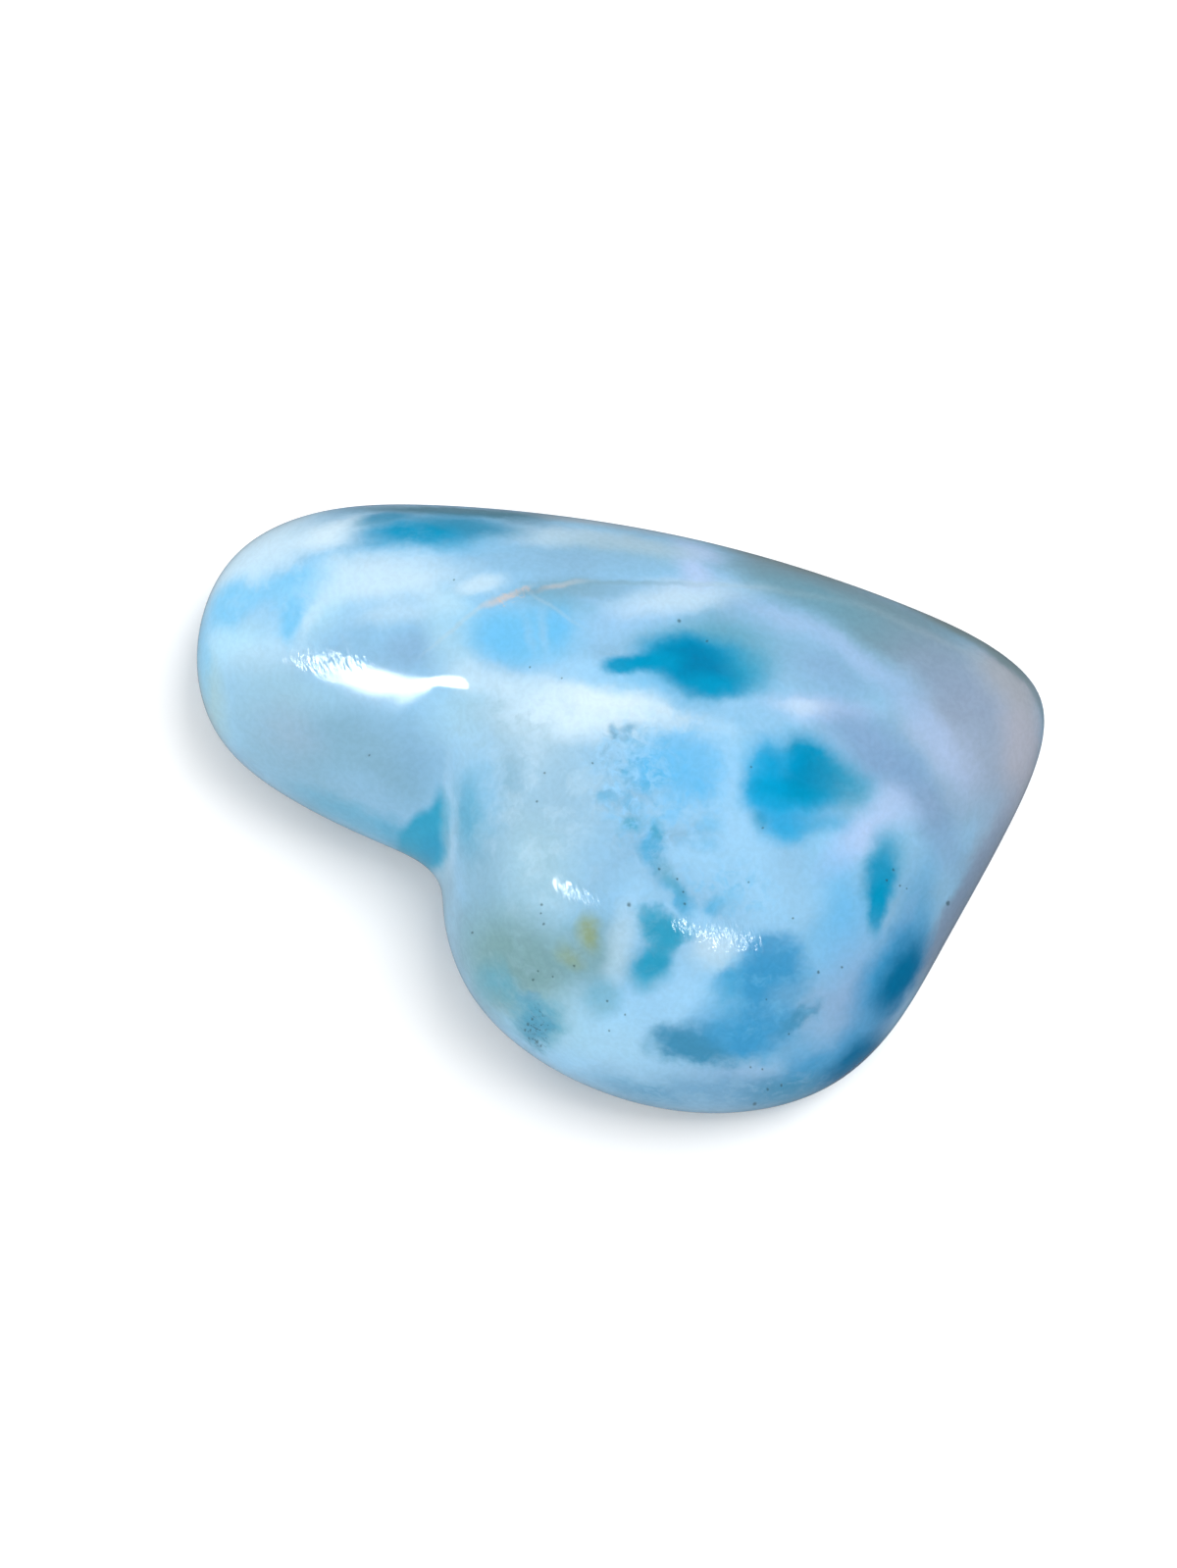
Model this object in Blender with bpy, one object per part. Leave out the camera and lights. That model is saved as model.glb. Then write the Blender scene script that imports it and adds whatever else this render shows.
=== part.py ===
"""A larimar cabochon: one freeform, lopsided heart of polished stone with a flat back.

The stone lies on its flat back, which is on the plane z = 0 under the middle of its outline. Its long
side runs along X, the long lobe points to -X and +Y, and the big round lobe points to -Y. All sizes
below are in millimetres, and the mesh is scaled to metres at the end.
"""

import bmesh
import bpy
import numpy as np

METRES = 0.001

# Outline at the girdle, seen from above and read counter-clockwise from the pointed right end.
# A closed cubic spline runs through these places.
OUTLINE = (
    (16.98, 4.10),
    (15.62, 5.97),
    (11.95, 7.98),
    (4.87, 10.43),
    (-1.63, 11.75),
    (-7.60, 12.28),
    (-12.40, 11.90),
    (-15.70, 10.00),
    (-17.03, 6.40),
    (-16.20, 3.05),
    (-13.22, 0.42),
    (-9.40, -1.47),
    (-7.78, -2.34),
    (-7.20, -3.14),
    (-7.04, -4.30),
    (-6.23, -6.97),
    (-4.12, -9.45),
    (-0.34, -11.50),
    (4.10, -12.20),
    (8.13, -11.22),
    (10.76, -8.95),
    (12.88, -5.56),
    (15.52, -0.84),
)
KNOT_SPACING_POWER = 0.75
POINTS_PER_SPAN = 40
CLEFT = (-7.3, -2.9)

# Heights
GIRDLE_HEIGHT = 1.8
DOME_HEIGHT = 7.7
FULL_DEPTH = 4.05

# Underside: a rounded edge from the girdle in to the flat back
BACK_INSET = 1.5
BACK_SWEEP = np.radians(76)

# Swellings and hollows of the dome: share of the height, place, radii along and across, turn in degrees
ROUND_LOBE = (0.21, (-3.6, -4.1), (5.8, 5.8), 0)
LONG_LOBE = (0.14, (-10.0, 9.8), (9.0, 3.8), -12)
LONG_LOBE_FLANK = (-0.11, (-10.0, 1.2), (7.0, 4.2), -15)
VALLEY = (-0.10, (-6.0, 0.0), (2.6, 3.6), 18)

# Groove that runs up from the cleft and fades out between the two lobes
GROOVE_X = -7.05
GROOVE_LEAN = 0.7
GROOVE_LEAN_START = 2.0
GROOVE_LEAN_SPREAD = 1.6
GROOVE_WALL = 0.55
GROOVE_SLOPE = 1.8
GROOVE_DEPTH = 0.25
GROOVE_FADE_Y = 1.2
GROOVE_FADE_SPREAD = 1.5

# Soft shoulder that runs along the upper right edge
SHOULDER = 0.07
SHOULDER_DEPTH = 1.15
SHOULDER_SPREAD = 0.6
SHOULDER_FACING = np.array((0.34, 0.94))
SHOULDER_REACH = 8.6
SHOULDER_START_X = 5.0

# Mesh: points round the outline, rings from the girdle to the top, rings down to the back
POINTS_ROUND = 136
DOME_RINGS = 32
BACK_RINGS = 4
HALVED_FROM_RING = 25
QUARTERED_FROM_RING = 29
CLEFT_CROWDING = 1.6
CLEFT_CROWDING_REACH = 2.4
GROOVE_CROWDING = 2.5
GROOVE_CROWDING_REACH = 1.0
RAY_STEPS = 240
DOME_MIDDLE = np.array((0.3, 0.9))

# Larimar: pale milky blue with a high polish
STONE_COLOUR = (0.36, 0.62, 0.76, 1.0)
STONE_ROUGHNESS = 0.12


def clear_scene():
    for old in list(bpy.data.objects):
        bpy.data.objects.remove(old, do_unlink=True)


def closed_spline(knots, per_span):
    """Points along the closed cubic spline through the knots."""
    knot = np.array(knots)
    count = len(knot)
    following = np.roll(knot, -1, axis=0)
    span = np.linalg.norm(following - knot, axis=1) ** KNOT_SPACING_POWER
    slope = (following - knot) / span[:, None]
    system = np.zeros((count, count))
    for i in range(count):
        system[i, i - 1] = span[i - 1]
        system[i, i] = 2 * (span[i - 1] + span[i])
        system[i, (i + 1) % count] = span[i]
    bend = np.linalg.solve(system, 6 * (slope - np.roll(slope, 1, axis=0)))
    bend_after = np.roll(bend, -1, axis=0)
    t = (np.arange(per_span) / per_span)[None, :, None]
    h = span[:, None, None]
    start, end = knot[:, None], following[:, None]
    curve = (1 - t) * start + t * end
    curve += (h**2 / 6) * ((1 - t) ** 3 - (1 - t)) * bend[:, None]
    curve += (h**2 / 6) * (t**3 - t) * bend_after[:, None]
    return curve.reshape(-1, 2)


def outline_points(count):
    """The outline as points, closer together in the cleft."""
    curve = closed_spline(OUTLINE, POINTS_PER_SPAN)
    closed = np.vstack([curve, curve[:1]])
    step = np.linalg.norm(np.diff(closed, axis=0), axis=1)
    from_cleft = np.linalg.norm(curve - np.array(CLEFT), axis=1)
    crowding = 1 + CLEFT_CROWDING * np.exp(-((from_cleft / CLEFT_CROWDING_REACH) ** 2))
    travelled = np.concatenate([[0], np.cumsum(step * crowding)])
    wanted = np.linspace(0, travelled[-1], count, endpoint=False)
    return np.stack([np.interp(wanted, travelled, closed[:, axis]) for axis in (0, 1)], axis=1)


def outward_normals(rim):
    tangent = np.roll(rim, -1, axis=0) - np.roll(rim, 1, axis=0)
    normal = np.stack([tangent[:, 1], -tangent[:, 0]], axis=1)
    return normal / np.linalg.norm(normal, axis=1, keepdims=True)


def depth_inside(places, rim):
    """How deep each place lies inside the outline: a smooth mean of its distances to the rim all round."""
    to_start = rim[None] - places[:, None]
    to_end = np.roll(to_start, -1, axis=1)
    start_length = np.linalg.norm(to_start, axis=2)
    end_length = np.linalg.norm(to_end, axis=2)
    cross = to_start[..., 0] * to_end[..., 1] - to_start[..., 1] * to_end[..., 0]
    dot = (to_start * to_end).sum(axis=2)
    half_angle = cross / (start_length * end_length + dot)
    return 2 / (half_angle * (1 / start_length + 1 / end_length)).sum(axis=1)


def swelling(places, share, middle, radii, turn):
    """A smooth bump or hollow, as a share of the height."""
    angle = np.radians(turn)
    offset = places - np.array(middle)
    along = (np.cos(angle) * offset[:, 0] + np.sin(angle) * offset[:, 1]) / radii[0]
    across = (np.cos(angle) * offset[:, 1] - np.sin(angle) * offset[:, 0]) / radii[1]
    return share * np.exp(-(along**2) - across**2)


def ease(value):
    """Rises smoothly from 0 to 1 as the value goes from well under 0 to well over it."""
    return 0.5 + 0.5 * np.tanh(value)


def off_groove(places):
    """Distance to the right of the groove's floor, and how strong the groove is at that height."""
    y = places[..., 1]
    floor_x = GROOVE_X + GROOVE_LEAN * ease((y - GROOVE_LEAN_START) / GROOVE_LEAN_SPREAD)
    return places[..., 0] - floor_x, ease((GROOVE_FADE_Y - y) / GROOVE_FADE_SPREAD)


def groove(places):
    off, strength = off_groove(places)
    width = np.where(off > 0, GROOVE_WALL, GROOVE_SLOPE)
    return GROOVE_DEPTH * strength * np.exp(-((off / width) ** 2))


def shoulder(places, depth):
    band = np.exp(-(((depth - SHOULDER_DEPTH) / SHOULDER_SPREAD) ** 2))
    side = ease(places @ SHOULDER_FACING - SHOULDER_REACH)
    return SHOULDER * band * side * ease((places[:, 0] - SHOULDER_START_X) / 2)


def dome_height(places, rim):
    """Height over the girdle of the polished face."""
    depth = depth_inside(places, rim)
    shape = 1 + shoulder(places, depth)
    for lump in (ROUND_LOBE, LONG_LOBE, LONG_LOBE_FLANK, VALLEY):
        shape += swelling(places, *lump)
    return DOME_HEIGHT * np.sqrt(depth / FULL_DEPTH) * shape * (1 - groove(places))


def ring_shares(rim):
    """Share of the way out from the middle for each outline point and ring, closer at rim and groove."""
    turn = np.linspace(0, 0.5 * np.pi, RAY_STEPS)
    shares = np.cos(turn)
    places = DOME_MIDDLE + shares[None, :, None] * (rim - DOME_MIDDLE)[:, None]
    off, strength = off_groove(places)
    crowding = 1 + GROOVE_CROWDING * strength * np.exp(-((off / GROOVE_CROWDING_REACH) ** 2))
    travelled = np.cumsum(crowding, axis=1) - crowding[:, :1]
    wanted = np.arange(1, DOME_RINGS) / DOME_RINGS
    return np.array([np.interp(wanted, ray / ray[-1], shares) for ray in travelled])


def dome_rings(rim):
    """Rings over the girdle, from the lowest to the one next to the top, with fewer points near the top."""
    rings = []
    for number, shares in enumerate(ring_shares(rim).T, start=1):
        skip = 1 + (number >= HALVED_FROM_RING) + 2 * (number >= QUARTERED_FROM_RING)
        places = DOME_MIDDLE + shares[::skip, None] * (rim[::skip] - DOME_MIDDLE)
        rings.append(np.column_stack([places, GIRDLE_HEIGHT + dome_height(places, rim)]))
    return rings


def back_rings(rim):
    """Rings under the girdle, from the flat back up."""
    rings = []
    for ring in range(BACK_RINGS, 0, -1):
        turn = BACK_SWEEP * ring / BACK_RINGS
        inset = BACK_INSET * (1 - np.cos(turn)) / (1 - np.cos(BACK_SWEEP))
        height = GIRDLE_HEIGHT * (1 - np.sin(turn) / np.sin(BACK_SWEEP))
        places = rim - inset * outward_normals(rim)
        rings.append(np.column_stack([places, np.full(len(rim), height)]))
    return rings


def stone_material():
    material = bpy.data.materials.new("polished_larimar")
    material.use_nodes = True
    shader = material.node_tree.nodes["Principled BSDF"]
    shader.inputs["Base Color"].default_value = STONE_COLOUR
    shader.inputs["Roughness"].default_value = STONE_ROUGHNESS
    shader.inputs["Metallic"].default_value = 0.0
    material.diffuse_color = STONE_COLOUR
    return material


def add_band(mesh, lower, upper):
    """Faces between two rings of equal count, or from a ring up to one with half as many points."""
    for i in range(len(upper)):
        j = (i + 1) % len(upper)
        if len(lower) == len(upper):
            mesh.faces.new((lower[i], lower[j], upper[j], upper[i]))
            continue
        first, middle, last = lower[2 * i], lower[2 * i + 1], lower[2 * j]
        mesh.faces.new((first, middle, upper[i]))
        mesh.faces.new((middle, upper[j], upper[i]))
        mesh.faces.new((middle, last, upper[j]))


def build_stone():
    rim = outline_points(POINTS_ROUND)
    girdle = np.column_stack([rim, np.full(len(rim), GIRDLE_HEIGHT)])
    rings = back_rings(rim) + [girdle] + dome_rings(rim)
    top = np.append(DOME_MIDDLE, GIRDLE_HEIGHT + dome_height(DOME_MIDDLE[None], rim)[0])
    box_middle = np.append((rim.min(axis=0) + rim.max(axis=0)) / 2, 0)

    mesh = bmesh.new()
    loops = [[mesh.verts.new((place - box_middle) * METRES) for place in ring] for ring in rings]
    summit = mesh.verts.new((top - box_middle) * METRES)
    for lower, upper in zip(loops[:-1], loops[1:]):
        add_band(mesh, lower, upper)
    for i, corner in enumerate(loops[-1]):
        mesh.faces.new((corner, loops[-1][(i + 1) % len(loops[-1])], summit))
    for face in mesh.faces:
        face.smooth = True
    mesh.faces.new(reversed(loops[0]))
    mesh.normal_update()

    data = bpy.data.meshes.new("larimar_cabochon")
    mesh.to_mesh(data)
    mesh.free()
    data.materials.append(stone_material())
    stone = bpy.data.objects.new("larimar_cabochon", data)
    bpy.context.scene.collection.objects.link(stone)


clear_scene()
build_stone()
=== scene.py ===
"""Looks of the larimar cabochon: a finer skin over its one solid, its markings, the light and the camera."""

import math

import bmesh
import bpy
import numpy as np
from mathutils import Matrix, Vector


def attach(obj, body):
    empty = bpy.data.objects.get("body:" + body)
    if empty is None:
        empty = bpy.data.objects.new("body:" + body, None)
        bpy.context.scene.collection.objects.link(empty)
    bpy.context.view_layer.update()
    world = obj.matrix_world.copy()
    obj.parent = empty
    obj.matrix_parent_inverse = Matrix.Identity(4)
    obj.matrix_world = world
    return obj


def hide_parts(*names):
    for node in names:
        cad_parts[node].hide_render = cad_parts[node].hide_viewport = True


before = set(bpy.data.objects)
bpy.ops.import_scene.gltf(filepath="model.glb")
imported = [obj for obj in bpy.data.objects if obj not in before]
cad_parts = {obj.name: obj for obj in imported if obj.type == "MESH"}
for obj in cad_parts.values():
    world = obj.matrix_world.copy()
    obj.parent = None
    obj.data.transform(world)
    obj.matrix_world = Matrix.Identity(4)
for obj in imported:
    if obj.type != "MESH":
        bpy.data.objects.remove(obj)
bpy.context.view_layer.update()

MM = 0.001
NODE = "larimar_cabochon"

# Outline at the girdle, seen from above and read counter-clockwise from the pointed right end.
# A closed cubic spline runs through these places.
OUTLINE = (
    (16.98, 4.10),
    (15.62, 5.97),
    (11.95, 7.98),
    (4.87, 10.43),
    (-1.63, 11.75),
    (-7.60, 12.28),
    (-12.40, 11.90),
    (-15.70, 10.00),
    (-17.03, 6.40),
    (-16.20, 3.05),
    (-13.22, 0.42),
    (-9.40, -1.47),
    (-7.78, -2.34),
    (-7.20, -3.14),
    (-7.04, -4.30),
    (-6.23, -6.97),
    (-4.12, -9.45),
    (-0.34, -11.50),
    (4.10, -12.20),
    (8.13, -11.22),
    (10.76, -8.95),
    (12.88, -5.56),
    (15.52, -0.84),
)
KNOT_SPACING_POWER = 0.75
POINTS_PER_SPAN = 40
CLEFT = (-7.3, -2.9)

# Heights
GIRDLE_HEIGHT = 1.8
DOME_HEIGHT = 7.7
FULL_DEPTH = 4.05

# Underside: a rounded edge from the girdle in to the flat back
BACK_INSET = 1.5
BACK_SWEEP = np.radians(76)

# Swellings and hollows of the dome: share of the height, place, radii along and across, turn in degrees
ROUND_LOBE = (0.21, (-3.6, -4.1), (5.8, 5.8), 0)
LONG_LOBE = (0.14, (-10.0, 9.8), (9.0, 3.8), -12)
LONG_LOBE_FLANK = (-0.11, (-10.0, 1.2), (7.0, 4.2), -15)
VALLEY = (-0.10, (-6.0, 0.0), (2.6, 3.6), 18)

# Groove that runs up from the cleft and fades out between the two lobes
GROOVE_X = -7.05
GROOVE_LEAN = 0.7
GROOVE_LEAN_START = 2.0
GROOVE_LEAN_SPREAD = 1.6
GROOVE_WALL = 0.55
GROOVE_SLOPE = 1.8
GROOVE_DEPTH = 0.25
GROOVE_FADE_Y = 1.2
GROOVE_FADE_SPREAD = 1.5

# Soft shoulder that runs along the upper right edge
SHOULDER = 0.07
SHOULDER_DEPTH = 1.15
SHOULDER_SPREAD = 0.6
SHOULDER_FACING = np.array((0.34, 0.94))
SHOULDER_REACH = 8.6
SHOULDER_START_X = 5.0

# Mesh of the skin, a hair smaller than the solid so that the finer mesh stays inside its box
SKIN_FIT = 0.9998
POINTS_ROUND = 448
DOME_RINGS = 200
BACK_RINGS = 14
HALVED_FROM_RING = 150
QUARTERED_FROM_RING = 180
CLEFT_CROWDING = 1.6
CLEFT_CROWDING_REACH = 2.4
GROOVE_CROWDING = 2.5
GROOVE_CROWDING_REACH = 1.0
RAY_STEPS = 960
DOME_MIDDLE = np.array((0.3, 0.9))

# Camera
LENS = 85.0
SENSOR = 36.0
ELEVATION = math.radians(80)
PICTURE_SIZE = np.array((1200, 1599))
PIXELS_PER_MM = 25.4
AIM = np.array((-1.26, 0.96, GIRDLE_HEIGHT))
FOCAL_PIXELS = LENS / SENSOR * PICTURE_SIZE[1]
TO_CAMERA = np.array((0, -math.cos(ELEVATION), math.sin(ELEVATION)))
PICTURE_RIGHT = np.array((1, 0, 0))
PICTURE_UP = np.array((0, math.sin(ELEVATION), math.cos(ELEVATION)))
CAMERA_PLACE = AIM + FOCAL_PIXELS / PIXELS_PER_MM * TO_CAMERA
SIGHT_STEPS = 24
SIGHT_PACE = 0.4

# Light: two window panels seen in the polish, a panel that throws the floor's soft shadow, and the room
WINDOWS = (
    ("window_left", (-306, -201, 398), (190, 60), -15, 26),
    ("window_corner", (-215, -269, 423), (72, 36), -36, 26),
    ("window_front", (146, -238, 399), (46, 36), 8, 22),
)
FLOOR_KEY_PLACE = (270, 170, 470)
FLOOR_KEY_SIZE = (380, 380)
FLOOR_KEY_RADIANCE = 6.0
FLOOR_COLOUR = (0.85, 0.845, 0.84)
FLOOR_GAP = 0.01
ROOM_BRIGHT_SIDE = (-0.15, 0.5, 0.8)
ROOM_LIGHT = (0.1, 1.2)
ROOM_MIRROR = (0.02, 0.35)
MIRROR_BRIGHT_SIDE = (-0.85, -0.2, -0.45)
MIRROR_START = -0.4
ROOM_COLOUR = (0.98, 0.99, 1.0)

# Stone
SUBSURFACE = 0.35
SUBSURFACE_RADIUS = (0.7, 0.95, 1.0)
SUBSURFACE_DEPTH = 0.35
POLISH = (0.06, 0.12)
GLOSS_SIZE = 2.0
WAVE_SIZE = 2.6
WAVE_HEIGHT = 0.012
GRAIN_SIZE = 0.3
GRAIN_HEIGHT = 0.0012

# Scuffs that fray the mirror images of the windows: place, half length and half width in the photograph's
# pixels, turn in degrees and strength
SCUFFS = (
    ((318, 668), (56, 14), -13, 1.0),
    ((594, 916), (26, 9), -30, 2.0),
    ((732, 953), (44, 20), -8, 1.0),
)
SCUFF_SOFTNESS = 0.5
SCUFF_ROUGHNESS = 0.005
SCUFF_DEPTH = 0.01
STREAK_SIZE = (0.2, 0.7, 0.7)
STREAK_TURN = 12

COLOURS = {
    "white": (0.66, 0.8, 0.88),
    "milk": (0.52, 0.7, 0.82),
    "ice": (0.33, 0.61, 0.84),
    "cyan_milk": (0.42, 0.68, 0.82),
    "pale": (0.28, 0.54, 0.76),
    "sky": (0.18, 0.51, 0.77),
    "bright_sky": (0.12, 0.48, 0.8),
    "bright_blue": (0.03, 0.37, 0.68),
    "mid_blue": (0.09, 0.4, 0.65),
    "grey_blue": (0.25, 0.46, 0.64),
    "flank": (0.21, 0.39, 0.51),
    "haze": (0.28, 0.46, 0.56),
    "green_haze": (0.32, 0.5, 0.55),
    "beige": (0.31, 0.49, 0.61),
    "warm_milk": (0.42, 0.58, 0.68),
    "moss": (0.17, 0.32, 0.34),
    "warm_grey": (0.42, 0.5, 0.56),
    "slate": (0.19, 0.32, 0.39),
    "slate_teal": (0.1, 0.34, 0.46),
    "slate_blue": (0.05, 0.25, 0.42),
    "dark_grey": (0.06, 0.2, 0.28),
    "dark_teal": (0.02, 0.25, 0.42),
    "sea": (0.03, 0.32, 0.5),
    "blue": (0.05, 0.3, 0.55),
    "deep_blue": (0.0, 0.15, 0.32),
    "teal": (0.0, 0.29, 0.51),
    "aqua": (0.0, 0.36, 0.66),
    "deep_teal": (0.0, 0.2, 0.39),
    "lavender_white": (0.46, 0.6, 0.85),
    "lavender": (0.31, 0.47, 0.7),
    "lavender_grey": (0.32, 0.41, 0.54),
    "mauve_grey": (0.22, 0.3, 0.42),
    "rose_grey": (0.44, 0.46, 0.54),
    # Grey of the painted shade along the upper right rim, where the dome turns away from the light
    "rim_shade_grey": (0.18, 0.27, 0.3),
    "dusk": (0.22, 0.37, 0.57),
    "dark": (0.03, 0.07, 0.08),
    "olive": (0.25, 0.34, 0.19),
    "tan": (0.62, 0.52, 0.46),
    "dove": (0.38, 0.41, 0.46),
}

# How the edge of a mark wanders: sizes of a broad, a fine and a finest wander, and for each kind of edge
# how far each of them reaches. All in millimetres.
WANDER_SIZES = (2.8, 0.75, 0.16)
EDGES = {
    "soft": (0.7, 0.4, 0.1),
    "crisp": (0.3, 0.25, 0.0),
    "wispy": (0.6, 0.8, 0.0),
    "feathery": (0.5, 0.9, 0.2),
    "fleck": (0.0, 0.0, 0.08),
}
MARK_DEPTH = 2.5
UNDER_PUSH = 0.1
SPECK_STRENGTH = 0.65
SPECK_SOFTNESS = 0.6
SPECK_DEPTH = 0.25
CLOUD_SIZE = 3.0
CLOUD_SPAN = (0.4, 0.7)
MOTTLE_SIZE = 0.22
MOTTLE = (0.96, 1.03)

# Pattern under the girdle: pale veins round blue cells, on a back that is only ground flat
UNDERSIDE_SPAN = (0.5, 1.5)
BACK_CELL_SIZE = 5.5
VEIN_WIDTH = 0.28
BACK_SPAN = (0.05, 0.5)
BACK_ROUGHNESS = 0.4

# Dark specks: place and half size in the photograph's pixels
SPECKS = (
    ((693, 632), 2.0),
    ((721, 653), 1.4),
    ((967, 920), 2.2),
    ((642, 921), 1.9),
    ((553, 921), 1.3),
    ((555, 941), 1.3),
    ((552, 930), 1.0),
    ((586, 984), 1.3),
    ((544, 998), 1.3),
    ((549, 989), 1.0),
    ((564, 995), 1.0),
    ((482, 950), 1.2),
    ((673, 885), 1.2),
    ((691, 895), 1.2),
    ((699, 920), 1.3),
    ((697, 908), 1.0),
    ((605, 777), 1.1),
    ((556, 787), 1.1),
    ((548, 816), 1.2),
    ((766, 781), 1.2),
    ((778, 843), 1.0),
    ((911, 886), 1.3),
    ((904, 897), 1.2),
    ((918, 902), 1.0),
    ((809, 935), 1.0),
    ((835, 990), 1.4),
    ((859, 985), 1.2),
    ((782, 1018), 1.0),
    ((805, 1053), 1.0),
    ((766, 1087), 1.0),
    ((783, 1110), 1.3),
    ((797, 1106), 1.2),
    ((770, 1125), 1.9),
    ((778, 1089), 0.9),
    ((620, 1019), 1.2),
    ((638, 1033), 1.0),
    ((622, 1049), 1.0),
    ((539, 1043), 1.6),
    ((543, 1038), 1.2),
    ((536, 1049), 1.2),
    ((548, 1061), 1.7),
    ((552, 1065), 1.2),
    ((541, 679), 1.0),
    ((574, 690), 0.9),
    ((464, 590), 1.0),
    ((377, 769), 1.0),
    ((925, 905), 0.9),
    ((764, 898), 0.9),
)
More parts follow.
